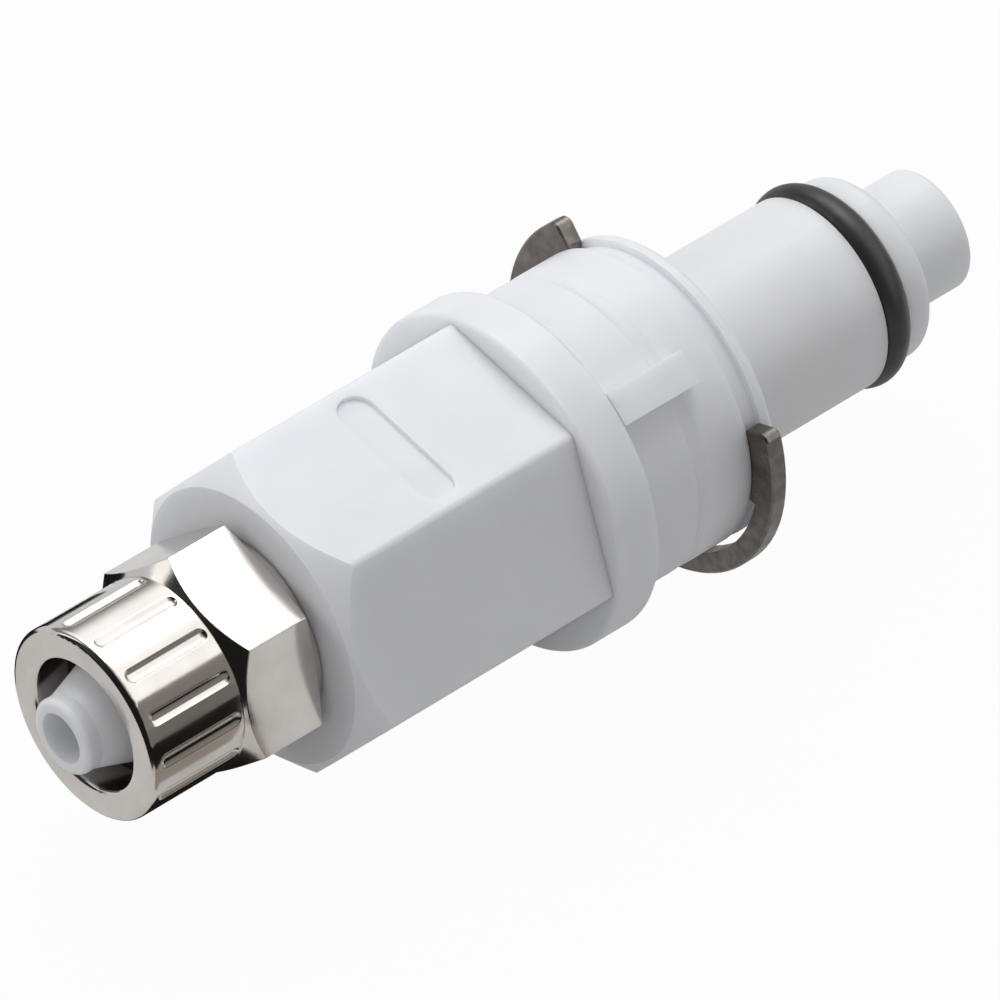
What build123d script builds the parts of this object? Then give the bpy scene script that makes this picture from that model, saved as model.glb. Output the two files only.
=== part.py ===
from build123d import *
from math import cos, radians, sqrt, tan
import os

os.makedirs("parts", exist_ok=True)

# Valved insert half of a plastic quick disconnect coupling, in millimetres.
# The coupling's axis is X. The origin is on that axis, in the flange's front face, where
# the panel sits. +X runs to the nose, -X to the tube, and +Z leaves through the label flat.
# Angles about the axis are counted from +Z towards -Y.

# Clearances
running_clearance = 0.06
static_clearance = 0.03
thread_clearance = 0.06
nut_face_clearance = 0.05
seal_clearance = 0.05
socket_end_clearance = 0.10

# Flange, which covers the hexagon's corners, and the keyed neck that passes through a panel's hole
flange_margin = 0.33168
flange_reach = 1.1
flange_thickness = 1.65
flange_edge_round = 0.3
neck_length = 9.0
neck_root_round = 0.2
neck_edge_round = 0.45
key_width = 1.9
key_length = 5.05
key_height = 1.0
key_foot = 0.2
key_angle = 30.0
panel_line_position = 4.0
panel_line_width = 0.9
panel_line_depth = 0.12

# Retaining clip and its groove
clip_thickness = 1.0
clip_reach = 1.55
clip_relief = 0.4
clip_groove_depth = 0.4
clip_groove_setback = 0.79
clip_mouth_angle = 110.0
clip_mouth_centre = 5.0
clip_end_prong_angle = 30.0
clip_mid_prong_angle = 36.0
clip_end_round = 0.5
clip_edge_bevel = 0.1

# Barrel, nose and the nose seal
barrel_wall = 0.9
barrel_length = 10.35
barrel_root_round = 0.8
nose_seal_section = 1.78
nose_seal_reach = 0.29
lip_step = 0.3
lip_length = 1.75
lip_round = 0.7

# Hexagonal body on the tube side
body_across_flats = 15.88
body_length = 17.3
body_ridge_round = 0.4
body_bevel_inset = 0.24
recess_margin = 0.634
recess_width = 2.1
recess_depth = 0.25
recess_position = 8.95

# Spigot that joins the body to the valve housing, in a socket inside the neck
neck_wall = 1.62
spigot_length = 7.0
spigot_lead = 0.5
body_seal_section = 1.5
body_seal_setback = 3.4

# Thread stub and tube nipple
stub_radius = 4.46
stub_setback = 4.7
stub_chamfer = 1.0
nipple_reach = 1.4
nipple_radius = 2.1
nipple_straight = 0.9
nipple_cone_angle = 18.0
nipple_cone_radius = 3.4
nipple_tip_round = 0.3

# Flow way
flow_radius = 2.2
nipple_bore_radius = 1.4
flow_step_position = 1.0

# Compression nut
nut_length = 11.15
nut_wall = 0.84
nut_across_flats = 11.12
nut_turn = 9.3
nut_hex_from = 5.95
nut_hex_to = 10.65
nut_bevel_slope = 1.33
nut_rear_bevel = 0.16
nut_collar_step = 0.06
nut_edge_round = 0.35
nut_mouth_radius = 3.63
nut_mouth_depth = 2.2
nut_mouth_round = 0.3
nut_thread_chamfer = 0.5
flute_count = 14
flute_turn = 20.8
flute_from = 0.95
flute_hex_gap = 0.6
flute_width = 0.85
flute_depth = 0.2

# Valve chamber and poppet
nose_bore_radius = 3.45
seat_depth = 1.1
seat_setback = 2.35
valve_travel = 3.0
tip_reach = 4.3
tip_wall = 1.05
tip_round = 0.3
poppet_seal_section = 1.2
poppet_seal_offset = 0.25
poppet_head_gap = 0.35
poppet_head_length = 1.4
window_count = 4
window_width = 2.4
window_length = 2.2
window_offset = 0.75
window_overcut = 0.5
tip_floor_offset = 0.45
wing_count = 4
wing_thickness = 1.1
wing_stop_clearance = 0.2
pilot_gap = 0.55
pilot_length = 2.5
pilot_round = 0.4

# Spring and its pocket
spring_wire = 0.6
spring_middle_radius = 2.75
spring_turns = 7.5
spring_end_overrun = 0.15
spring_pocket_gap = 0.25
spring_pocket_depth = 5.0

# Radii worked out from the sizes above
body_flat_radius = body_across_flats / 2
body_corner_radius = body_flat_radius / cos(radians(30))
body_bevel_radius = body_flat_radius - body_bevel_inset
recess_length = 2 * (body_flat_radius * tan(radians(30)) - recess_margin)
flange_radius = body_corner_radius + flange_margin
neck_radius = flange_radius - flange_reach
clip_radius = neck_radius + clip_reach
clip_relief_radius = neck_radius + clip_relief
clip_groove_radius = neck_radius - clip_groove_depth
socket_radius = neck_radius - neck_wall
spigot_radius = socket_radius - static_clearance
chamber_radius = nose_bore_radius + seat_depth
barrel_radius = chamber_radius + barrel_wall
lip_radius = barrel_radius - lip_step
nose_seal_radius = barrel_radius + nose_seal_reach
nose_groove_radius = nose_seal_radius - nose_seal_section - static_clearance
nut_thread_radius = stub_radius + thread_clearance
nut_barrel_radius = nut_thread_radius + nut_wall
nut_collar_radius = nut_barrel_radius - nut_collar_step
tip_radius = nose_bore_radius - running_clearance
tip_bore_radius = tip_radius - tip_wall
poppet_head_radius = chamber_radius - poppet_head_gap
poppet_seal_middle = nose_bore_radius + poppet_seal_offset
poppet_groove_radius = poppet_seal_middle - poppet_seal_section / 2 - static_clearance
wing_radius = chamber_radius - running_clearance
pilot_radius = spring_middle_radius - spring_wire / 2 - pilot_gap
spring_pocket_radius = spring_middle_radius + spring_wire / 2 + spring_pocket_gap

# Stations along the axis, worked out from the sizes above
flange_rear = -flange_thickness
body_rear = flange_rear - body_length
nut_rear = body_rear - nut_face_clearance
nut_face = nut_rear - nut_length
flute_to = nut_hex_from - flute_hex_gap
stub_face = nut_face + stub_setback
nipple_tip = nut_face - nipple_reach
nipple_cone_start = nipple_tip + nipple_straight
nipple_cone_end = nipple_cone_start + (nipple_cone_radius - nipple_radius) / tan(radians(nipple_cone_angle))
spigot_end = flange_rear + spigot_length
socket_end = spigot_end + socket_end_clearance
spring_seat = spigot_end - spring_pocket_depth
neck_end = neck_length
clip_groove_end = neck_end - clip_groove_setback
clip_groove_position = clip_groove_end - clip_thickness - 2 * static_clearance
nose_groove_start = neck_end + barrel_length
nose_groove_end = nose_groove_start + nose_seal_section + 2 * static_clearance
nose_end = nose_groove_end + lip_length
seat_position = nose_groove_start - seat_setback
seat_end = seat_position + seat_depth
tip_end = nose_end + tip_reach

# The poppet seal lies in the corner of the poppet, one clearance away from the conical seat
poppet_seal_to_seat = sqrt(2) * (poppet_seal_section / 2 + seal_clearance)
poppet_seal_centre = seat_position + chamber_radius - poppet_seal_middle - poppet_seal_to_seat
poppet_groove_start = poppet_seal_centre - poppet_seal_section / 2 - static_clearance
poppet_groove_end = poppet_seal_centre + poppet_seal_section / 2 + static_clearance
head_start = poppet_groove_start - poppet_head_length
wing_start = spigot_end + valve_travel + wing_stop_clearance
pilot_start = wing_start - pilot_length


def make_outline(points, rounds):
    """Draws a closed (axial, radius) outline and rounds the corners that rounds lists."""
    with BuildSketch(Plane.XZ) as outline:
        with BuildLine():
            Polyline(*points, close=True)
        make_face()
        for corner, radius in rounds:
            fillet(outline.vertices().sort_by_distance((*corner, 0))[0], radius)
    return outline.sketch


def turned(points, rounds=(), mode=Mode.ADD):
    """Turns a closed (axial, radius) outline about the coupling's axis."""
    revolve(make_outline(points, rounds), axis=Axis.X, mode=mode)


def ring_seal(section, middle_radius, position):
    """Turns a round section into a seal ring about the axis."""
    with BuildSketch(Plane.XZ) as outline:
        with Locations((position, middle_radius)):
            Circle(section / 2)
    revolve(outline.sketch, axis=Axis.X)


def ring_sector(inner, outer, middle_angle, span):
    """Adds a sector of a flat ring to the sketch, with angles counted from +Z towards -Y."""
    start = middle_angle + 90 - span / 2
    with BuildSketch(mode=Mode.PRIVATE) as sector:
        with BuildLine():
            wide = CenterArc((0, 0), outer, start, span)
            narrow = CenterArc((0, 0), inner, start, span)
            Line(wide @ 0, narrow @ 0)
            Line(wide @ 1, narrow @ 1)
        make_face()
    add(sector.sketch)


# The nut is turned from hexagonal bar: a fluted barrel, the wrench hexagon and a short collar
nut_corner_radius = nut_across_flats / 2 / cos(radians(30))
nut_bevel_end = nut_hex_from + (nut_corner_radius - nut_barrel_radius) / nut_bevel_slope
nut_shoulder_end = nut_mouth_depth + nut_thread_radius - nut_mouth_radius
flute_cutter = (flute_width**2 / 4 + flute_depth**2) / (2 * flute_depth)
flute_axis_radius = nut_barrel_radius - flute_depth + flute_cutter

with BuildPart() as compression_nut:
    with BuildSketch(Plane.YZ.offset(nut_face + nut_hex_from)):
        RegularPolygon(nut_across_flats / 2, 6, major_radius=False, rotation=nut_turn)
    extrude(amount=nut_hex_to - nut_hex_from)
    turned(
        [
            (nut_face + nut_hex_from, 0),
            (nut_face + nut_hex_from, nut_barrel_radius),
            (nut_face + nut_bevel_end, nut_corner_radius),
            (nut_face + nut_hex_to - nut_rear_bevel, nut_corner_radius),
            (nut_face + nut_hex_to, nut_across_flats / 2),
            (nut_face + nut_hex_to, 0),
        ],
        mode=Mode.INTERSECT,
    )
    turned(
        [
            (nut_face, 0),
            (nut_face, nut_barrel_radius),
            (nut_face + nut_hex_from, nut_barrel_radius),
            (nut_face + nut_hex_from, nut_collar_radius),
            (nut_rear, nut_collar_radius),
            (nut_rear, 0),
        ],
        rounds=[((nut_face, nut_barrel_radius), nut_edge_round)],
    )
    turned(
        [
            (nut_face, 0),
            (nut_face, nut_mouth_radius),
            (nut_face + nut_mouth_depth, nut_mouth_radius),
            (nut_face + nut_shoulder_end, nut_thread_radius),
            (nut_rear - nut_thread_chamfer, nut_thread_radius),
            (nut_rear, nut_thread_radius + nut_thread_chamfer),
            (nut_rear, 0),
        ],
        mode=Mode.SUBTRACT,
    )
    fillet(
        compression_nut.edges().filter_by(GeomType.CIRCLE).group_by(Axis.X)[0].sort_by(SortBy.RADIUS)[0],
        nut_mouth_round,
    )
    # Ball-ended flutes cut along the barrel for the fingers
    for index in range(flute_count):
        flute_angle = flute_turn + index * 360 / flute_count
        flute_plane = Plane.YZ.rotated((flute_angle, 0, 0))
        with Locations(flute_plane.offset(nut_face + (flute_from + flute_to) / 2)):
            with Locations((0, flute_axis_radius, 0)):
                Cylinder(flute_cutter, flute_to - flute_from, mode=Mode.SUBTRACT)
        for flute_end in (flute_from, flute_to):
            with Locations(flute_plane.offset(nut_face + flute_end)):
                with Locations((0, flute_axis_radius, 0)):
                    Sphere(flute_cutter, mode=Mode.SUBTRACT)

compression_nut.part.label = "compression_nut"
export_step(compression_nut.part, "parts/compression_nut.step")

# The moulded body: hexagon with a turned bevel, thread stub and nipple behind, spigot in front
body_seal_middle = spigot_radius - body_seal_section / 2
body_groove_start = spigot_end - body_seal_setback - body_seal_section / 2 - static_clearance
body_groove_end = spigot_end - body_seal_setback + body_seal_section / 2 + static_clearance
body_groove_radius = body_seal_middle - body_seal_section / 2 - static_clearance

with BuildPart() as tube_end_body:
    with BuildSketch(Plane.YZ.offset(body_rear)):
        RegularPolygon(body_flat_radius, 6, major_radius=False)
    extrude(amount=body_length)
    fillet(tube_end_body.edges().filter_by(Axis.X), body_ridge_round)
    turned(
        [
            (body_rear, 0),
            (body_rear, body_bevel_radius),
            (body_rear + body_corner_radius - body_bevel_radius, body_corner_radius),
            (flange_rear, body_corner_radius),
            (flange_rear, 0),
        ],
        mode=Mode.INTERSECT,
    )
    with BuildSketch(Plane.XY.offset(body_flat_radius)):
        with Locations((flange_rear - recess_position, 0)):
            SlotOverall(recess_length, recess_width, rotation=90)
    extrude(amount=-recess_depth, mode=Mode.SUBTRACT)
    turned(
        [
            (flange_rear, 0),
            (flange_rear, spigot_radius),
            (body_groove_start, spigot_radius),
            (body_groove_start, body_groove_radius),
            (body_groove_end, body_groove_radius),
            (body_groove_end, spigot_radius),
            (spigot_end - spigot_lead, spigot_radius),
            (spigot_end, spigot_radius - spigot_lead),
            (spigot_end, 0),
        ]
    )
    turned(
        [
            (body_rear, 0),
            (body_rear, stub_radius),
            (stub_face + stub_chamfer, stub_radius),
            (stub_face, stub_radius - stub_chamfer),
            (nipple_cone_end, nipple_cone_radius),
            (nipple_cone_start, nipple_radius),
            (nipple_tip, nipple_radius),
            (nipple_tip, 0),
        ],
        rounds=[((nipple_tip, nipple_radius), nipple_tip_round)],
    )
    turned(
        [
            (nipple_tip, 0),
            (nipple_tip, nipple_bore_radius),
            (body_rear + flow_step_position - (flow_radius - nipple_bore_radius), nipple_bore_radius),
            (body_rear + flow_step_position, flow_radius),
            (spring_seat, flow_radius),
            (spring_seat, spring_pocket_radius),
            (spigot_end, spring_pocket_radius),
            (spigot_end, 0),
        ],
        mode=Mode.SUBTRACT,
    )

tube_end_body.part.label = "tube_end_body"
export_step(tube_end_body.part, "parts/tube_end_body.step")

with BuildPart() as body_seal:
    ring_seal(body_seal_section, body_seal_middle, spigot_end - body_seal_setback)

body_seal.part.label = "body_seal"
export_step(body_seal.part, "parts/body_seal.step")

# The valve housing: flange, keyed neck, barrel and nose lip in one moulding
panel_line_cutter = (panel_line_width**2 / 4 + panel_line_depth**2) / (2 * panel_line_depth)
panel_line_axis_radius = neck_radius - panel_line_depth + panel_line_cutter

with BuildPart() as valve_housing:
    turned(
        [
            (flange_rear, 0),
            (flange_rear, flange_radius),
            (0, flange_radius),
            (0, neck_radius),
            (neck_end, neck_radius),
            (neck_end, barrel_radius),
            (nose_groove_start, barrel_radius),
            (nose_groove_start, nose_groove_radius),
            (nose_groove_end, nose_groove_radius),
            (nose_groove_end, lip_radius),
            (nose_end, lip_radius),
            (nose_end, 0),
        ],
        rounds=[
            ((flange_rear, flange_radius), flange_edge_round),
            ((0, flange_radius), flange_edge_round),
            ((0, neck_radius), neck_root_round),
            ((neck_end, neck_radius), neck_edge_round),
            ((neck_end, barrel_radius), barrel_root_round),
            ((nose_end, lip_radius), lip_round),
        ],
    )
    # The shallow round-bottomed line about the neck stops at the key rib, which is added after it
    with BuildSketch(Plane.XZ):
        with Locations((panel_line_position, panel_line_axis_radius)):
            Circle(panel_line_cutter)
    revolve(axis=Axis.X, mode=Mode.SUBTRACT)
    with BuildSketch(Plane.YZ):
        with PolarLocations(neck_radius + (key_height - key_foot) / 2, 1, start_angle=90 + key_angle):
            Rectangle(key_height + key_foot, key_width)
    extrude(amount=key_length)
    turned(
        [
            (clip_groove_position, clip_groove_radius),
            (clip_groove_position, clip_radius),
            (clip_groove_end, clip_radius),
            (clip_groove_end, clip_groove_radius),
        ],
        mode=Mode.SUBTRACT,
    )
    turned(
        [
            (flange_rear, 0),
            (flange_rear, socket_radius),
            (socket_end, socket_radius),
            (socket_end, chamber_radius),
            (seat_position, chamber_radius),
            (seat_end, nose_bore_radius),
            (nose_end, nose_bore_radius),
            (nose_end, 0),
        ],
        mode=Mode.SUBTRACT,
    )

valve_housing.part.label = "valve_housing"
export_step(valve_housing.part, "parts/valve_housing.step")

with BuildPart() as nose_seal:
    ring_seal(
        nose_seal_section,
        nose_seal_radius - nose_seal_section / 2,
        (nose_groove_start + nose_groove_end) / 2,
    )

nose_seal.part.label = "nose_seal"
export_step(nose_seal.part, "parts/nose_seal.step")

# Stamped clip: a ring open at its mouth, with prongs at both ends and one in the middle
clip_span = 360 - clip_mouth_angle
clip_prong_radius = clip_groove_radius + static_clearance
clip_middle = clip_mouth_centre + 180

with BuildPart() as retaining_clip:
    with BuildSketch(Plane.YZ.offset(clip_groove_position + static_clearance)) as clip_outline:
        ring_sector(clip_relief_radius, clip_radius, clip_middle, clip_span)
        ring_sector(clip_prong_radius, clip_radius, clip_middle, clip_mid_prong_angle)
        for side in (-1, 1):
            prong_angle = clip_middle + side * (clip_span - clip_end_prong_angle) / 2
            ring_sector(clip_prong_radius, clip_radius, prong_angle, clip_end_prong_angle)
        mouth = Vector(0, 2 * clip_radius).rotate(Axis.Z, clip_mouth_centre)
        fillet(clip_outline.vertices().sort_by_distance(mouth)[:4], clip_end_round)
    extrude(amount=clip_thickness)
    chamfer(retaining_clip.edges().filter_by(GeomType.CIRCLE).group_by(SortBy.RADIUS)[-1], clip_edge_bevel)

retaining_clip.part.label = "retaining_clip"
export_step(retaining_clip.part, "parts/retaining_clip.step")

# The poppet: a hollow tip with windows, a sealing head, guide wings and a spring pilot
with BuildPart() as valve_poppet:
    turned(
        [
            (pilot_start, 0),
            (pilot_start, pilot_radius),
            (head_start, pilot_radius),
            (head_start, poppet_head_radius),
            (poppet_groove_start, poppet_head_radius),
            (poppet_groove_start, poppet_groove_radius),
            (poppet_groove_end, poppet_groove_radius),
            (poppet_groove_end, tip_radius),
            (tip_end, tip_radius),
            (tip_end, tip_bore_radius),
            (poppet_groove_end + tip_floor_offset, tip_bore_radius),
            (poppet_groove_end + tip_floor_offset, 0),
        ],
        rounds=[
            ((pilot_start, pilot_radius), pilot_round),
            ((tip_end, tip_radius), tip_round),
        ],
    )
    with BuildSketch(Plane.YZ.offset(wing_start)):
        with PolarLocations(wing_radius / 2, wing_count):
            Rectangle(wing_radius, wing_thickness)
    extrude(amount=head_start - wing_start)
    turned(
        [
            (wing_start, wing_radius),
            (wing_start, 2 * wing_radius),
            (head_start, 2 * wing_radius),
            (head_start, wing_radius),
        ],
        mode=Mode.SUBTRACT,
    )
    with BuildSketch(Plane.YZ.offset(poppet_groove_end + window_offset)):
        with PolarLocations(tip_radius, window_count, start_angle=180 / window_count):
            Rectangle(2 * (tip_wall + window_overcut), window_width)
    extrude(amount=window_length, mode=Mode.SUBTRACT)

valve_poppet.part.label = "valve_poppet"
export_step(valve_poppet.part, "parts/valve_poppet.step")

with BuildPart() as poppet_seal:
    ring_seal(poppet_seal_section, poppet_seal_middle, poppet_seal_centre)

poppet_seal.part.label = "poppet_seal"
export_step(poppet_seal.part, "parts/poppet_seal.step")

# Coil spring between the pocket's floor and the wings, with both ends ground flat
spring_length = wing_start - spring_seat - 2 * static_clearance
spring_pitch = spring_length / spring_turns
spring_from = spring_seat + static_clearance

with BuildPart() as valve_spring:
    with BuildLine():
        spring_path = Helix(
            spring_pitch,
            spring_length + 2 * spring_end_overrun,
            spring_middle_radius,
            center=(spring_from - spring_end_overrun, 0, 0),
            direction=(1, 0, 0),
        )
    with BuildSketch(Plane(origin=spring_path @ 0, z_dir=spring_path % 0)):
        Circle(spring_wire / 2)
    sweep(path=spring_path)
    turned(
        [
            (spring_from, 0),
            (spring_from, chamber_radius),
            (spring_from + spring_length, chamber_radius),
            (spring_from + spring_length, 0),
        ],
        mode=Mode.INTERSECT,
    )

valve_spring.part.label = "valve_spring"
export_step(valve_spring.part, "parts/valve_spring.step")
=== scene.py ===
import logging
import math
from abc import ABC, abstractmethod
from dataclasses import dataclass, field
from enum import Enum
from typing import ClassVar

import bmesh
import bpy
from mathutils import Matrix, Vector


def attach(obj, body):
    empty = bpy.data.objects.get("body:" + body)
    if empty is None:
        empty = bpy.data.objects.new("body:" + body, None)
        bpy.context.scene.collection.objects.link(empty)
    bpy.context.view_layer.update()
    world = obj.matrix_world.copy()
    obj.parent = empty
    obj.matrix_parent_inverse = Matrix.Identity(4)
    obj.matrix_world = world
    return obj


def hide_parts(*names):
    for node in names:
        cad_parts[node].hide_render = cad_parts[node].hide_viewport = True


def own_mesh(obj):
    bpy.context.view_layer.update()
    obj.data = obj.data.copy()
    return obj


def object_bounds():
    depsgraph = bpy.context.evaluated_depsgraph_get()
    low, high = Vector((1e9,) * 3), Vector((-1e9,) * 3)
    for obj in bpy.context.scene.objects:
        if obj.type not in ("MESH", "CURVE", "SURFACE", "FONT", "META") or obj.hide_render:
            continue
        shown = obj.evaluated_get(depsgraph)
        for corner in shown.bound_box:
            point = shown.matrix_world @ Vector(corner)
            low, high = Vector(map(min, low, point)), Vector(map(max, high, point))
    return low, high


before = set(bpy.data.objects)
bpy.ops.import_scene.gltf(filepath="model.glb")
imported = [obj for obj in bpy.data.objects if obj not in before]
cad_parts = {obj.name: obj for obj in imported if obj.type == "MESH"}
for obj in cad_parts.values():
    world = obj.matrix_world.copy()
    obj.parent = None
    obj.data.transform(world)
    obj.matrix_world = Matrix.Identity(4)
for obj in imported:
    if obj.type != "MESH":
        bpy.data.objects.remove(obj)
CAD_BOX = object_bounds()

LOG = logging.getLogger("coupling")
MM = 0.001

Colour = tuple[float, float, float]
Place = tuple[float, float, float]
Range = tuple[float, float]
Socket = bpy.types.NodeSocket

WHITE: Colour = (1.0, 1.0, 1.0)


class Node(Enum):
    """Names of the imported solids."""

    NUT = "compression_nut"
    BODY = "tube_end_body"
    BODY_SEAL = "body_seal"
    HOUSING = "valve_housing"
    NOSE_SEAL = "nose_seal"
    CLIP = "retaining_clip"
    POPPET = "valve_poppet"
    POPPET_SEAL = "poppet_seal"
    SPRING = "valve_spring"


class Body(Enum):
    """Names of the bodies that the pieces ride on."""

    COUPLING = "coupling"


class Joint(Enum):
    """Names of the joints that a piece gives way to."""

    PUSH = "valve_push"


class Slot(Enum):
    """Names of the record's material slots."""

    SPRING_STEEL = "spring_steel"
    WHITE_ACETAL = "white_acetal"


class Mix(Enum):
    """Kinds of Mix node: the data type, and the numbers of both inputs and the output."""

    NUMBERS = ("FLOAT", 2, 3, 0)
    COLOURS = ("RGBA", 6, 7, 2)


class ShaderTree:
    """The node tree of a material or a world, which grows one node at a time."""

    noise_range: ClassVar[Range] = (0.3, 0.7)
    edge_samples: ClassVar[int] = 8

    def __init__(self, owner: str | bpy.types.World) -> None:
        """Starts an empty tree.

        Args:
            owner: the new material's name, or a world that takes the tree.
        """
        of_world = isinstance(owner, bpy.types.World)
        self.owner = owner if of_world else bpy.data.materials.new(owner)
        self.owner.use_nodes = True
        self.tree = self.owner.node_tree
        self.tree.nodes.clear()
        output = "ShaderNodeOutputWorld" if of_world else "ShaderNodeOutputMaterial"
        self.output = self.tree.nodes.new(output)

    def add(self, kind: str, settings: dict | None = None, **inputs: object) -> bpy.types.Node:
        """Adds a node.

        Args:
            kind: the node's Blender type.
            settings: the node's own properties.
            inputs: input names, with spaces as underscores, and a value or a socket for each.

        Returns:
            The new node.
        """
        node = self.tree.nodes.new(kind)
        for name, value in (settings or {}).items():
            setattr(node, name, value)
        for name, value in inputs.items():
            self.feed(node, name.replace("_", " "), value)
        return node

    def feed(self, node: bpy.types.Node, name: str | int, value: object) -> None:
        """Sets an input to a value, or links an output socket to it.

        Args:
            node: the node that has the input.
            name: the input's name or its number.
            value: a plain value or an output socket.
        """
        socket = node.inputs[name]
        if isinstance(value, Socket):
            self.tree.links.new(value, socket)
        else:
            socket.default_value = value

    def compute(self, operation: str, first: object, second: object) -> Socket:
        """Adds a Math node.

        Args:
            operation: the name of the operation.
            first: the first value or socket.
            second: the second value or socket.

        Returns:
            The node's output socket.
        """
        node = self.add("ShaderNodeMath", {"operation": operation})
        self.feed(node, 0, first)
        self.feed(node, 1, second)
        return node.outputs[0]

    def place(self) -> Socket:
        """Gives the position in the piece's own space, in metres."""
        return self.add("ShaderNodeTexCoord").outputs["Object"]

    def noise(
        self, vector: object, scale: float, detail: float = 3.0, roughness: float = 0.5
    ) -> Socket:
        """Adds a noise texture.

        Args:
            vector: where the noise is read.
            scale: how many features it has in a metre.
            detail: how many finer layers it has.
            roughness: how strong the finer layers are.

        Returns:
            The socket of the noise value, which stays in noise_range for the most part.
        """
        node = self.add(
            "ShaderNodeTexNoise", Vector=vector, Scale=scale, Detail=detail, Roughness=roughness
        )
        return node.outputs[0]

    def remap(self, value: object, source: Range, target: Range, smooth: bool = False) -> Socket:
        """Maps one range of values onto another.

        Args:
            value: the value's socket.
            source: the ends of the range that it comes from.
            target: what becomes of those ends.
            smooth: whether it eases in and out between them.

        Returns:
            The mapped value's socket.
        """
        settings = {"interpolation_type": "SMOOTHSTEP"} if smooth else None
        node = self.add("ShaderNodeMapRange", settings, Value=value)
        for name, end in zip(("From Min", "From Max", "To Min", "To Max"), (*source, *target)):
            self.feed(node, name, end)
        return node.outputs[0]

    def spread(self, noise: Socket, target: Range) -> Socket:
        """Maps a noise value onto a range.

        Args:
            noise: the noise value's socket.
            target: the ends of the range.

        Returns:
            The mapped value's socket.
        """
        return self.remap(noise, self.noise_range, target)

    def mix(self, kind: Mix, factor: object, first: object, second: object) -> Socket:
        """Mixes two numbers or two colours.

        Args:
            kind: what is mixed.
            factor: the share of the second.
            first: the first value or socket.
            second: the second value or socket.

        Returns:
            The mixture's socket.
        """
        data_type, first_input, second_input, output = kind.value
        node = self.add("ShaderNodeMix", {"data_type": data_type})
        self.feed(node, 0, factor)
        self.feed(node, first_input, first)
        self.feed(node, second_input, second)
        return node.outputs[output]

    def mottle(self, noise: Socket, light: Colour, shade: Colour) -> Socket:
        """Clouds a light colour with a darker one.

        Args:
            noise: the noise value's socket.
            light: the colour where the noise is low.
            shade: the colour where it is high.

        Returns:
            The clouded colour's socket.
        """
        factor = self.spread(noise, (0.0, 1.0))
        return self.mix(Mix.COLOURS, factor, (*light, 1.0), (*shade, 1.0))

    def bump(self, height: Socket, depth: float, normal: Socket | None = None) -> Socket:
        """Adds a bump node.

        Args:
            height: the height's socket.
            depth: the depth of the relief in metres.
            normal: the normal that it starts from.

        Returns:
            The bumped normal's socket.
        """
        node = self.add("ShaderNodeBump", Height=height, Distance=depth)
        if normal is not None:
            self.feed(node, "Normal", normal)
        return node.outputs[0]

    def soft_edge(self, radius: float) -> Socket:
        """Gives a normal that rounds sharp edges by a radius in metres."""
        settings = {"samples": self.edge_samples}
        return self.add("ShaderNodeBevel", settings, Radius=radius).outputs[0]

    def finish(self, shader: bpy.types.Node) -> bpy.types.Material | bpy.types.World:
        """Sends a shader to the output.

        Args:
            shader: the last shader node.

        Returns:
            The finished material or world.
        """
        self.tree.links.new(shader.outputs[0], self.output.inputs["Surface"])
        return self.owner


class Finish(ABC):
    """A surface finish that makes its own material."""

    @abstractmethod
    def material(self) -> bpy.types.Material:
        """Makes the finish's material."""


@dataclass(frozen=True)
class AcetalFinish(Finish):
    """Natural white acetal out of the mould: milky, a little translucent, with a soft gloss."""

    name: str = "moulded_white_acetal"
    light: Colour = (0.85, 0.86, 0.885)
    shade: Colour = (0.81, 0.82, 0.85)
    roughness: Range = (0.38, 0.50)
    refraction: float = 1.48
    translucency: float = 0.65
    depth: float = 1.4 * MM
    scatter: Colour = (0.9, 1.0, 1.15)
    clouds_per_metre: float = 140.0
    ripples_per_metre: float = 420.0
    ripple_depth: float = 0.010 * MM
    grains_per_metre: float = 5200.0
    grain_depth: float = 0.0016 * MM

    def material(self) -> bpy.types.Material:
        """Makes the milky plastic with its flow clouding and fine mould texture.

        Returns:
            The material.
        """
        tree = ShaderTree(self.name)
        place = tree.place()
        clouds = tree.noise(place, self.clouds_per_metre, detail=4.0, roughness=0.55)
        grain = tree.noise(place, self.grains_per_metre, detail=2.0)
        ripple = tree.noise(place, self.ripples_per_metre, detail=2.0)
        rippled = tree.bump(ripple, self.ripple_depth)
        shader = tree.add(
            "ShaderNodeBsdfPrincipled",
            Base_Color=tree.mottle(clouds, self.light, self.shade),
            Roughness=tree.spread(ripple, self.roughness),
            Subsurface_Weight=self.translucency,
            Subsurface_Radius=self.scatter,
            Subsurface_Scale=self.depth,
            IOR=self.refraction,
            Normal=tree.bump(grain, self.grain_depth, rippled),
        )
        return tree.finish(shader)


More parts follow.
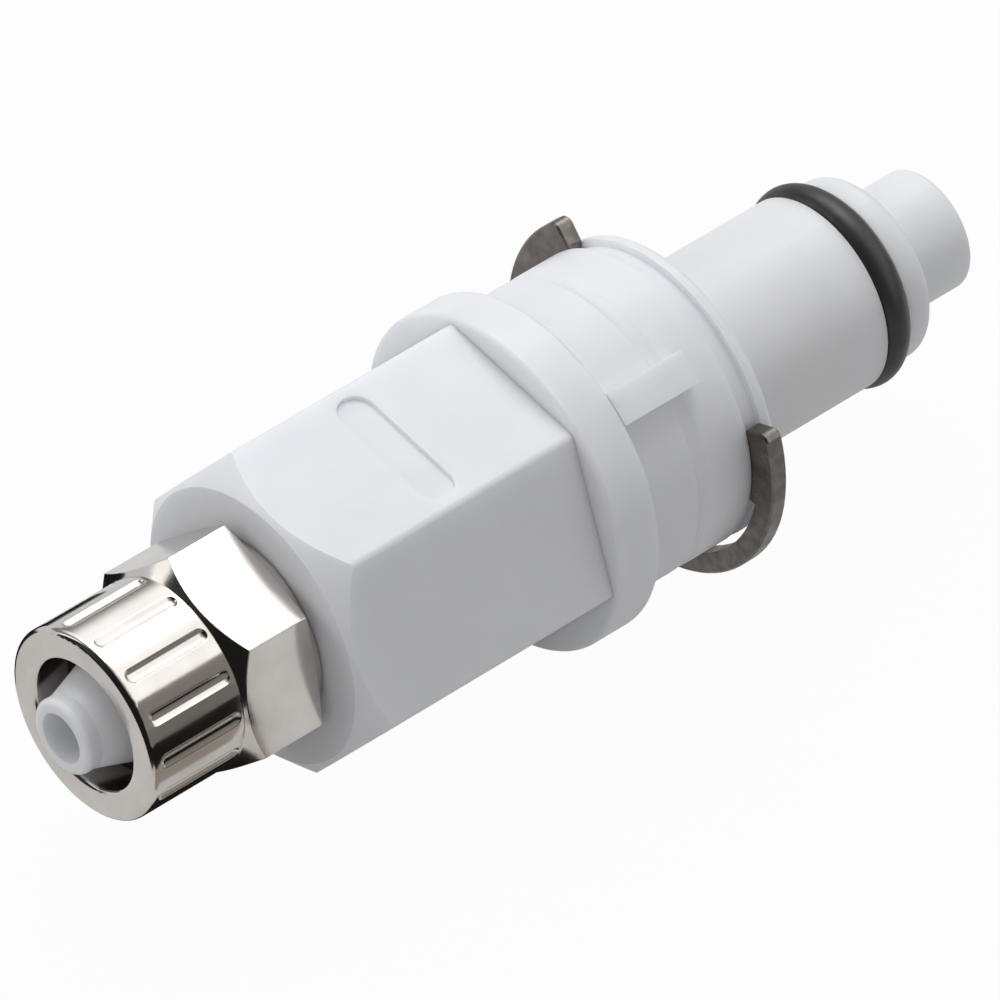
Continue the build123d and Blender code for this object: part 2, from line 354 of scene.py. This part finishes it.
@dataclass(frozen=True)
class PlatedBrassFinish(Finish):
    """Turned brass under bright nickel, with fine tool rings under the plating."""

    name: str = "nickel_plate_on_turned_brass"
    light: Colour = (0.68, 0.645, 0.61)
    shade: Colour = (0.60, 0.565, 0.53)
    roughness: Range = (0.10, 0.17)
    patches_per_metre: float = 420.0
    rings_per_metre: float = 9000.0
    ring_depth: float = 0.0012 * MM
    edge: float = 0.09 * MM

    def material(self) -> bpy.types.Material:
        """Makes the plated metal, whose rings follow the axis and the radius.

        Returns:
            The material.
        """
        tree = ShaderTree(self.name)
        place = tree.place()
        parts = tree.add("ShaderNodeSeparateXYZ", Vector=place).outputs
        across = tree.compute("POWER", parts["Y"], 2.0)
        upward = tree.compute("POWER", parts["Z"], 2.0)
        radius = tree.compute("SQRT", tree.compute("ADD", across, upward), 0.0)
        rings = tree.add("ShaderNodeCombineXYZ", X=parts["X"], Y=radius).outputs[0]
        tool_marks = tree.noise(rings, self.rings_per_metre)
        haze = tree.noise(place, self.patches_per_metre)
        shader = tree.add(
            "ShaderNodeBsdfPrincipled",
            Base_Color=tree.mottle(haze, self.light, self.shade),
            Metallic=1.0,
            Roughness=tree.spread(haze, self.roughness),
            Normal=tree.bump(tool_marks, self.ring_depth, tree.soft_edge(self.edge)),
        )
        return tree.finish(shader)


@dataclass(frozen=True)
class SheetSteelFinish(Finish):
    """Cold-rolled stainless spring strip with rolling lines and faint handling specks, coloured far
    darker than bare stainless as painted shade for the dark surroundings that it reflects.
    """

    name: str = "rolled_stainless_strip"
    # Both colours are painted shade: much darker than bare stainless, they stand in for the dark
    # surroundings reflected in the strip. The specks' mottle between them is random tone.
    light: Colour = (0.215, 0.193, 0.175)
    shade: Colour = (0.110, 0.098, 0.088)
    roughness: Range = (0.24, 0.42)
    specks_per_metre: float = 900.0
    lines_per_metre: float = 6000.0
    line_stretch: tuple[float, float, float] = (1.0, 0.05, 1.0)
    line_depth: float = 0.003 * MM
    edge: float = 0.06 * MM

    def material(self) -> bpy.types.Material:
        """Makes the rolled strip with lines in one direction.

        Returns:
            The material.
        """
        tree = ShaderTree(self.name)
        place = tree.place()
        stretched = tree.add("ShaderNodeMapping", Vector=place, Scale=self.line_stretch)
        lines = tree.noise(stretched.outputs[0], self.lines_per_metre)
        specks = tree.noise(place, self.specks_per_metre, detail=4.0, roughness=0.6)
        shader = tree.add(
            "ShaderNodeBsdfPrincipled",
            Base_Color=tree.mottle(specks, self.light, self.shade),
            Metallic=1.0,
            Roughness=tree.spread(specks, self.roughness),
            Normal=tree.bump(lines, self.line_depth, tree.soft_edge(self.edge)),
        )
        return tree.finish(shader)


@dataclass(frozen=True)
class DrawnWireFinish(Finish):
    """Bright drawn spring wire."""

    name: str = "drawn_spring_wire"
    light: Colour = (0.62, 0.61, 0.60)
    shade: Colour = (0.50, 0.49, 0.48)
    roughness: Range = (0.22, 0.34)
    streaks_per_metre: float = 2400.0
    streak_depth: float = 0.002 * MM

    def material(self) -> bpy.types.Material:
        """Makes the wire's metal with faint drawing streaks.

        Returns:
            The material.
        """
        tree = ShaderTree(self.name)
        streaks = tree.noise(tree.place(), self.streaks_per_metre)
        shader = tree.add(
            "ShaderNodeBsdfPrincipled",
            Base_Color=tree.mottle(streaks, self.light, self.shade),
            Metallic=1.0,
            Roughness=tree.spread(streaks, self.roughness),
            Normal=tree.bump(streaks, self.streak_depth),
        )
        return tree.finish(shader)


@dataclass(frozen=True)
class NitrileFinish(Finish):
    """Black moulded nitrile rubber with a thin film of grease."""

    name: str = "black_nitrile_rubber"
    light: Colour = (0.018, 0.017, 0.017)
    shade: Colour = (0.009, 0.009, 0.010)
    roughness: Range = (0.34, 0.50)
    refraction: float = 1.52
    smears_per_metre: float = 500.0
    pores_per_metre: float = 3800.0
    pore_depth: float = 0.003 * MM

    def material(self) -> bpy.types.Material:
        """Makes the rubber with its fine skin.

        Returns:
            The material.
        """
        tree = ShaderTree(self.name)
        place = tree.place()
        skin = tree.noise(place, self.pores_per_metre)
        film = tree.noise(place, self.smears_per_metre)
        shader = tree.add(
            "ShaderNodeBsdfPrincipled",
            Base_Color=tree.mottle(film, self.light, self.shade),
            Roughness=tree.spread(film, self.roughness),
            IOR=self.refraction,
            Normal=tree.bump(skin, self.pore_depth),
        )
        return tree.finish(shader)


@dataclass(frozen=True)
class PaperFinish(Finish):
    """Seamless white studio paper, which looks white behind the object and takes its shadow."""

    name: str = "white_studio_paper"
    colour: Colour = (0.55, 0.55, 0.55)
    seen_glow: float = 0.965
    mirrored_glow: float = 0.53

    def material(self) -> bpy.types.Material:
        """Makes the paper, a mix of its own colour and the plain white that the camera sees.

        Returns:
            The material.
        """
        tree = ShaderTree(self.name)
        path = tree.add("ShaderNodeLightPath").outputs
        seen = tree.compute("MAXIMUM", path["Is Camera Ray"], path["Is Transmission Ray"])
        seen = tree.compute("MULTIPLY", seen, self.seen_glow)
        mirrored = tree.compute("MULTIPLY", path["Is Glossy Ray"], self.mirrored_glow)
        paper = tree.add("ShaderNodeBsdfDiffuse", Color=(*self.colour, 1.0))
        white = tree.add("ShaderNodeEmission", Color=(*WHITE, 1.0), Strength=1.0)
        mixed = tree.add("ShaderNodeMixShader")
        tree.feed(mixed, 0, tree.compute("MAXIMUM", seen, mirrored))
        tree.feed(mixed, 1, paper.outputs[0])
        tree.feed(mixed, 2, white.outputs[0])
        return tree.finish(mixed)


@dataclass(frozen=True)
class CardFinish(Finish):
    """Plain studio card, which glows by itself so that its tone in a reflection is known."""

    name: str
    colour: Colour

    def material(self) -> bpy.types.Material:
        """Makes the card's glow.

        Returns:
            The material.
        """
        tree = ShaderTree(self.name)
        return tree.finish(
            tree.add("ShaderNodeEmission", Color=(*self.colour, 1.0), Strength=1.0)
        )


def dress(node: Node, material: bpy.types.Material) -> None:
    """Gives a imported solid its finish.

    Args:
        node: the solid.
        material: its finish.
    """
    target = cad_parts[node.value]
    target.data.materials.clear()
    target.data.materials.append(material)
    LOG.info("%s wears %s", node.value, material.name)


def put_in_scene(name: str, data: bpy.types.ID) -> bpy.types.Object:
    """Makes an object of a mesh, a light or a camera, and puts it in the scene.

    Args:
        name: the object's name.
        data: the mesh, light or camera.

    Returns:
        The object.
    """
    thing = bpy.data.objects.new(name, data)
    bpy.context.scene.collection.objects.link(thing)
    return thing


@dataclass
class TubeEnd:
    """The hexagonal body with its tube nipple, its seal and the metal nut."""

    plastic: Finish = field(default_factory=AcetalFinish)
    plating: Finish = field(default_factory=PlatedBrassFinish)
    rubber: Finish = field(default_factory=NitrileFinish)

    def build(self) -> None:
        """Dresses the three solids of the tube end."""
        dress(Node.BODY, self.plastic.material())
        dress(Node.NUT, self.plating.material())
        dress(Node.BODY_SEAL, self.rubber.material())


@dataclass
class ThickFlange:
    """The housing's mesh with its flange drawn out rearwards, over the hexagon's corners.

    What moves is the flange's rear face and edge: all that lies behind from_station and
    outside of socket_radius.
    """

    name: str = "housing_with_thick_flange"
    socket_radius: float = 6.5 * MM
    from_station: float = -1.0 * MM
    reach: float = 1.15 * MM

    def build(self, material: bpy.types.Material) -> None:
        """Copies the housing's mesh, draws out the flange and puts the copy in the solid's place.

        Args:
            material: the housing's finish.
        """
        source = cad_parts[Node.HOUSING.value]
        mesh = source.data.copy()
        mesh.name = self.name
        outward = source.matrix_world.inverted().to_3x3() @ Vector((-self.reach, 0.0, 0.0))
        for vertex in mesh.vertices:
            place = source.matrix_world @ vertex.co
            if place.x < self.from_station and math.hypot(place.y, place.z) > self.socket_radius:
                vertex.co += outward
        mesh.materials.clear()
        mesh.materials.append(material)
        piece = put_in_scene(self.name, mesh)
        piece.matrix_world = source.matrix_world.copy()
        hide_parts(Node.HOUSING.value)
        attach(piece, Body.COUPLING.value)
        LOG.info("%s has %d faces", self.name, len(mesh.polygons))


@dataclass
class NoseEnd:
    """The flanged housing, its panel clip and the ring in its nose groove."""

    plastic: Finish = field(default_factory=AcetalFinish)
    strip: Finish = field(default_factory=SheetSteelFinish)
    rubber: Finish = field(default_factory=NitrileFinish)
    flange: ThickFlange = field(default_factory=ThickFlange)

    def build(self) -> None:
        """Dresses the housing with its thick flange, the clip and the nose ring."""
        self.flange.build(self.plastic.material())
        dress(Node.CLIP, self.strip.material())
        dress(Node.NOSE_SEAL, self.rubber.material())


@dataclass
class Coil:
    """The valve's return spring, with closed and ground ends.

    A dead turn rises by dead_rise of the wire's thickness. The pitch of the live turns is
    larger than the mean by twice pitch_swing at their ends, and smaller by it in the middle.
    """

    name: str = "return_spring_coil"
    wire: float = 0.6 * MM
    middle_radius: float = 2.75 * MM
    foot: float = 0.35 * MM
    clearance: float = 0.03 * MM
    length: float = 8.14 * MM
    travel: float = 3.0 * MM
    turns: float = 7.5
    dead_turns: float = 1.0
    dead_rise: float = 0.55
    pitch_swing: float = 0.04
    steps_per_turn: int = 48
    sides: int = 16
    finish: Finish = field(default_factory=DrawnWireFinish)

    def height(self, turn: float) -> float:
        """Gives how far along the axis the wire's middle is after some turns.

        Args:
            turn: how many turns the wire has made.

        Returns:
            The distance from the middle of the wire's start, in metres.
        """
        rise = self.length - self.wire
        dead_rise = self.dead_rise * self.wire
        live_turns = self.turns - 2 * self.dead_turns
        live_rise = rise - 2 * dead_rise
        if turn < self.dead_turns:
            return dead_rise * turn / self.dead_turns
        if turn > self.turns - self.dead_turns:
            return rise - dead_rise * (self.turns - turn) / self.dead_turns
        share = (turn - self.dead_turns) / live_turns
        eased = share + self.pitch_swing * math.sin(2 * math.pi * share) / math.pi
        return dead_rise + live_rise * eased

    def ring(self, build: bmesh.types.BMesh, turn: float) -> list[bmesh.types.BMVert]:
        """Makes the corners of the wire's section after some turns, cut flat at the spring's ends.

        Args:
            build: the mesh that takes the corners.
            turn: how many turns the wire has made.

        Returns:
            The corners in order round the wire.
        """
        low = self.foot + self.clearance
        high = low + self.length
        angle = 2 * math.pi * turn
        middle = low + self.wire / 2 + self.height(turn)
        corners = []
        for side in range(self.sides):
            lean = 2 * math.pi * side / self.sides
            radius = self.middle_radius + self.wire / 2 * math.cos(lean)
            along = min(max(middle + self.wire / 2 * math.sin(lean), low), high)
            place = (along, radius * math.cos(angle), radius * math.sin(angle))
            corners.append(build.verts.new(place))
        return corners

    def mesh(self) -> bpy.types.Mesh:
        """Makes the wound wire, ground flat at both ends.

        Returns:
            The coil's mesh.
        """
        count = round(self.turns * self.steps_per_turn)
        build = bmesh.new()
        rings = [self.ring(build, self.turns * step / count) for step in range(count + 1)]
        for first, second in zip(rings, rings[1:]):
            for side in range(self.sides):
                following = (side + 1) % self.sides
                build.faces.new((first[side], second[side], second[following], first[following]))
        build.faces.new(rings[0])
        build.faces.new(tuple(reversed(rings[-1])))
        bmesh.ops.recalc_face_normals(build, faces=build.faces)
        mesh = bpy.data.meshes.new(self.name)
        build.to_mesh(mesh)
        build.free()
        for face in mesh.polygons:
            face.use_smooth = True
        return mesh

    def build(self) -> None:
        """Makes the coil in the solid spring's place."""
        coil = put_in_scene(self.name, self.mesh())
        coil.data.materials.append(self.finish.material())
        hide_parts(Node.SPRING.value)
        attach(coil, Body.COUPLING.value)
        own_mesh(coil)
        LOG.info("%s has %d faces", self.name, len(coil.data.polygons))


@dataclass
class Valve:
    """The poppet with its ring, and the coil spring that returns it."""

    plastic: Finish = field(default_factory=AcetalFinish)
    rubber: Finish = field(default_factory=NitrileFinish)
    coil: Coil = field(default_factory=Coil)

    def build(self) -> None:
        """Dresses the poppet and its ring, and winds the spring."""
        dress(Node.POPPET, self.plastic.material())
        dress(Node.POPPET_SEAL, self.rubber.material())
        self.coil.build()


def view_direction(azimuth: float, elevation: float) -> Vector:
    """Gives the unit vector from the object towards a point of view.

    Args:
        azimuth: degrees about +Z, where 0 looks along +Y.
        elevation: degrees above the floor.

    Returns:
        The direction.
    """
    turn = math.radians(azimuth)
    rise = math.radians(elevation)
    return Vector(
        (math.sin(turn) * math.cos(rise), -math.cos(turn) * math.cos(rise), math.sin(rise))
    )


@dataclass(frozen=True)
class Lamp:
    """A square soft box that looks at the object."""

    name: str
    azimuth: float
    elevation: float
    power: float
    tint: Colour = WHITE
    distance: float = 0.42
    size: float = 0.30

    def build(self) -> None:
        """Makes the lamp."""
        data = bpy.data.lights.new(self.name, "AREA")
        data.shape = "SQUARE"
        data.size = self.size
        data.energy = self.power
        data.color = self.tint
        lamp = put_in_scene(self.name, data)
        outward = view_direction(self.azimuth, self.elevation)
        lamp.location = outward * self.distance
        lamp.rotation_euler = outward.to_track_quat("Z", "Y").to_euler()


@dataclass(frozen=True)
class Flag:
    """A dark or grey studio card close to the object, which only reflections show.

    It runs along the object's axis, or stands across it where it is facing_end. Its two
    opposite corners, low and high, are in millimetres.
    """

    name: str
    low: Place
    high: Place
    colour: Colour = (0.012, 0.011, 0.010)
    facing_end: bool = False

    def corners(self) -> list[Place]:
        """Works out the card's corners.

        Returns:
            The corners in order, in metres.
        """
        (low_x, low_y, low_z), (high_x, high_y, high_z) = (
            [value * MM for value in corner] for corner in (self.low, self.high)
        )
        second_y, last_y = (high_y, low_y) if self.facing_end else (low_y, high_y)
        return [
            (low_x, low_y, low_z),
            (high_x, second_y, low_z),
            (high_x, high_y, high_z),
            (low_x, last_y, high_z),
        ]

    def build(self) -> None:
        """Makes the card and hides it from all but reflections."""
        mesh = bpy.data.meshes.new(self.name)
        mesh.from_pydata(self.corners(), [], [(0, 1, 2, 3)])
        mesh.materials.append(CardFinish(self.name, self.colour).material())
        card = put_in_scene(self.name, mesh)
        card.visible_camera = False
        card.visible_diffuse = False
        card.visible_shadow = False
        card.visible_transmission = False


@dataclass
class Studio:
    """The paper floor, the soft lights, the cards round the nut and the camera.

    Lengths are in metres, angles in degrees, and the lens, its sensor and the cards in
    millimetres. Reflections see mirrored_sky inside a wide softbox and mirrored_dark outside
    of it. The softbox fades in as a direction's upward part goes through box_height and its
    part along +X goes through box_reach.
    """

    card_tail: ClassVar[float] = -33.0
    card_side: ClassVar[float] = 10.5

    azimuth: float = -49.506
    elevation: float = 47.998
    roll: float = 10.442
    lens: float = 571.7
    sensor: float = 36.0
    distance: float = 800.0 * MM
    offset: tuple[float, float] = (-1.712 * MM, -2.029 * MM)
    clip: Range = (0.05, 10.0)
    world_level: float = 0.44
    world_tint: Colour = (1.0, 0.985, 0.985)
    mirrored_sky: float = 1.48
    mirrored_dark: float = 0.28
    box_height: Range = (0.12, 0.42)
    box_reach: Range = (-0.30, 0.20)
    floor_side: float = 1.6
    floor_squares: int = 8
    lamps: tuple[Lamp, ...] = (
        Lamp("key_softbox", azimuth=160.0, elevation=58.0, power=0.95, tint=(0.95, 0.98, 1.0)),
        Lamp("rear_softbox", azimuth=-130.0, elevation=15.0, power=0.36),
    )
    flags: tuple[Flag, ...] = (
        Flag(
            "foot_flag",
            (card_tail, -card_side, -5.6),
            (-20.7, -card_side, -0.6),
            colour=(0.36, 0.33, 0.30),
        ),
        Flag("low_flag", (card_tail, -card_side, -0.6), (-20.7, -card_side, 3.0)),
        Flag(
            "side_flag",
            (card_tail, -card_side, 3.0),
            (-20.2, -card_side, 5.6),
            colour=(0.21, 0.20, 0.185),
        ),
        Flag(
            "upper_flag",
            (card_tail, -card_side, 5.6),
            (-15.0, -card_side, 14.0),
            colour=(0.27, 0.257, 0.24),
        ),
        Flag("floor_flag", (-29.0, -8.2, -9.2), (-19.5, 0.0, -9.2)),
        Flag("far_flag", (card_tail, card_side, -9.2), (-21.6, card_side, 0.5)),
        Flag("end_flag", (-46.0, -38.0, -9.0), (-46.1, 24.0, 45.0), facing_end=True),
    )

    def build(self) -> None:
        """Makes the world, the floor, the lights, the cards and the camera."""
        self.set_view()
        self.light_world()
        self.lay_floor()
        for lamp in self.lamps:
            lamp.build()
        for flag in self.flags:
            flag.build()
        self.aim_camera()

    def set_view(self) -> None:
        """Sets the plain view transform."""
        bpy.context.scene.view_settings.view_transform = "Standard"

    def light_world(self) -> None:
        """Makes a soft sky that looks white to the camera.

        Reflections show it as a wide softbox over the nose end, dark towards the tube end and
        near the horizon, which gives the metal its contrast.
        """
        world = bpy.data.worlds.new("soft_studio_sky")
        bpy.context.scene.world = world
        tree = ShaderTree(world)
        path = tree.add("ShaderNodeLightPath").outputs
        generated = tree.add("ShaderNodeTexCoord").outputs["Generated"]
        aim = tree.add("ShaderNodeSeparateXYZ", Vector=generated).outputs
        over = tree.remap(aim["Z"], self.box_height, (0.0, 1.0), smooth=True)
        ahead = tree.remap(aim["X"], self.box_reach, (0.0, 1.0), smooth=True)
        box = tree.compute("MULTIPLY", over, ahead)
        sky = tree.remap(box, (0.0, 1.0), (self.mirrored_dark, self.mirrored_sky))
        seen = tree.compute("MAXIMUM", path["Is Camera Ray"], path["Is Transmission Ray"])
        plain = tree.remap(seen, (0.0, 1.0), (self.world_level, 1.0))
        level = tree.mix(Mix.NUMBERS, path["Is Glossy Ray"], plain, sky)
        tint = tree.mix(Mix.COLOURS, path["Is Diffuse Ray"], (*WHITE, 1.0), (*self.world_tint, 1.0))
        tree.finish(tree.add("ShaderNodeBackground", Color=tint, Strength=level))

    def lay_floor(self) -> None:
        """Lays the paper under the object's lowest point."""
        mesh = bpy.data.meshes.new("studio_paper")
        build = bmesh.new()
        squares = self.floor_squares
        bmesh.ops.create_grid(
            build, x_segments=squares, y_segments=squares, size=self.floor_side / 2
        )
        build.to_mesh(mesh)
        build.free()
        floor = put_in_scene("studio_paper", mesh)
        floor.location.z = CAD_BOX[0][2]
        mesh.materials.append(PaperFinish().material())

    def aim_camera(self) -> None:
        """Places the long lens at the photograph's angle."""
        back = view_direction(self.azimuth, self.elevation)
        heading = math.radians(self.azimuth)
        level = Vector((math.cos(heading), math.sin(heading), 0.0))
        upright = back.cross(level)
        turn = math.radians(self.roll)
        right = level * math.cos(turn) + upright * math.sin(turn)
        up = upright * math.cos(turn) - level * math.sin(turn)
        place = right * self.offset[0] + up * self.offset[1] + back * self.distance
        data = bpy.data.cameras.new("long_lens")
        data.lens = self.lens
        data.sensor_width = self.sensor
        data.clip_start, data.clip_end = self.clip
        camera = put_in_scene("long_lens", data)
        facing = Matrix((right, up, back)).transposed().to_4x4()
        camera.matrix_world = Matrix.Translation(place) @ facing
        bpy.context.scene.camera = camera


def main() -> None:
    """Builds the sub-assemblies in order, then the studio."""
    logging.basicConfig(level=logging.INFO)
    for assembly in (TubeEnd(), NoseEnd(), Valve(), Studio()):
        assembly.build()
        LOG.info("%s is ready", type(assembly).__name__)


if __name__ == "__main__":
    main()
